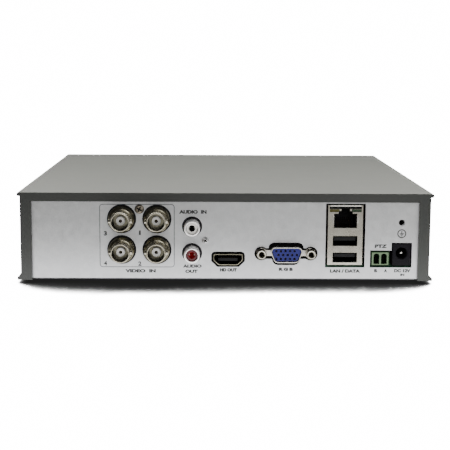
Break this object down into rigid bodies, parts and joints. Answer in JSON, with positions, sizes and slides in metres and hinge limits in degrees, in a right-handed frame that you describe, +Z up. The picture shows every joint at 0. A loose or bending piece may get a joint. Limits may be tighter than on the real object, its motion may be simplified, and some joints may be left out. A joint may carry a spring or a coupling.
{
  "type": "video recorder",
  "caption": "Flat desktop security video recorder with a lift-off plastic cover, steel rear socket panel and a hard disk drive inside.",
  "frame": {"origin": "on the floor, under the middle of the object's bounding box", "axes": "+Z up, out of the top plate; the rear socket panel faces +Y and the front bezel faces -Y; +X is on the left as seen from behind"},
  "size_m": [0.2096, 0.2152, 0.0462],
  "materials": {
    "cover_plastic": "fine-textured dark grey moulded plastic",
    "panel_steel": "galvanised sheet, satin",
    "bezel_gloss": "polished black",
    "smoked_window": "dark red-black acrylic",
    "light_pipe": "clear moulded light guide",
    "foot_rubber": "matt black",
    "screw_zinc": "zinc plated",
    "screw_bronze": "yellow-brown passivated",
    "nickel_plate": "warm nickel plate",
    "insulator_white": "white, satin",
    "connector_black": "black, satin",
    "rca_white": "white",
    "rca_red": "dark red",
    "dsub_blue": "blue, satin",
    "header_green": "green, satin",
    "circuit_board": "green solder mask with gold pads and white print",
    "chip_black": "dark epoxy",
    "heatsink_black": "black anodised",
    "cell_steel": "bright stainless",
    "drive_casting": "cast, fine grain",
    "drive_lid_steel": "brushed",
    "disc_mirror": "mirror finish",
    "arm_aluminium": "machined",
    "cable_red": "red PVC",
    "cable_grey": "grey PVC",
    "plug_white": "natural nylon"
  },
  "bodies": {
    "case": {"chassis": "panel_steel", "front_bezel": "bezel_gloss", "ir_window": "smoked_window", "light_pipe_power": "light_pipe", "light_pipe_drive": "light_pipe", "light_pipe_network": "light_pipe", "foot_1": "foot_rubber", "foot_2": "foot_rubber", "foot_3": "foot_rubber", "foot_4": "foot_rubber", "cover_screw_1": "screw_zinc", "cover_screw_2": "screw_zinc", "cover_screw_3": "screw_zinc", "cover_screw_4": "screw_zinc", "bnc_housing": "connector_black", "rca_housing": "connector_black", "hd_socket_shell": "nickel_plate", "hd_socket_tongue": "connector_black", "dsub_shell": "nickel_plate", "dsub_insert": "dsub_blue", "dsub_jackscrew_left": "nickel_plate", "dsub_jackscrew_right": "nickel_plate", "lan_shield": "nickel_plate", "lan_insert": "connector_black", "serial_header": "header_green", "power_jack": "connector_black", "power_jack_pin": "nickel_plate", "panel_screw_bnc": "screw_bronze", "panel_screw_rca": "screw_bronze", "main_board": "circuit_board", "front_board": "circuit_board", "drive_board": "circuit_board", "processor_chip": "chip_black", "heatsink": "heatsink_black", "coin_cell": "cell_steel", "drive_base": "drive_casting", "drive_lid": "drive_lid_steel", "drive_magnet": "nickel_plate", "data_cable": "cable_red", "power_cable": "cable_grey", "front_cable": "cable_grey", "data_plug_drive": "connector_black", "data_plug_board": "connector_black", "power_plug_drive": "plug_white", "power_plug_board": "plug_white", "bnc_shell_1": "nickel_plate", "bnc_insulator_1": "insulator_white", "bnc_shell_2": "nickel_plate", "bnc_insulator_2": "insulator_white", "bnc_shell_3": "nickel_plate", "bnc_insulator_3": "insulator_white", "bnc_shell_4": "nickel_plate", "bnc_insulator_4": "insulator_white", "rca_shell_audio_in": "nickel_plate", "rca_insert_audio_in": "rca_white", "rca_shell_audio_out": "nickel_plate", "rca_insert_audio_out": "rca_red"},
    "cover": {"top_cover": "cover_plastic"},
    "platter": {"drive_platter": "disc_mirror"},
    "head_arm": {"drive_head_arm": "arm_aluminium"}
  },
  "joints": [
    {"name": "cover_lift", "type": "slide", "parent": "case", "child": "cover", "axis": [0, 0, 1], "range_m": [0, 0.07]},
    {"name": "platter_spin", "type": "hinge", "parent": "case", "child": "platter", "pos_m": [0.0362, -0.0492, 0.018], "axis": [0, 0, 1], "continuous": true},
    {"name": "head_arm_swing", "type": "hinge", "parent": "case", "child": "head_arm", "pos_m": [-0.0138, -0.0752, 0.02], "axis": [0, 0, -1], "range_deg": [0, 36]}
  ]
}
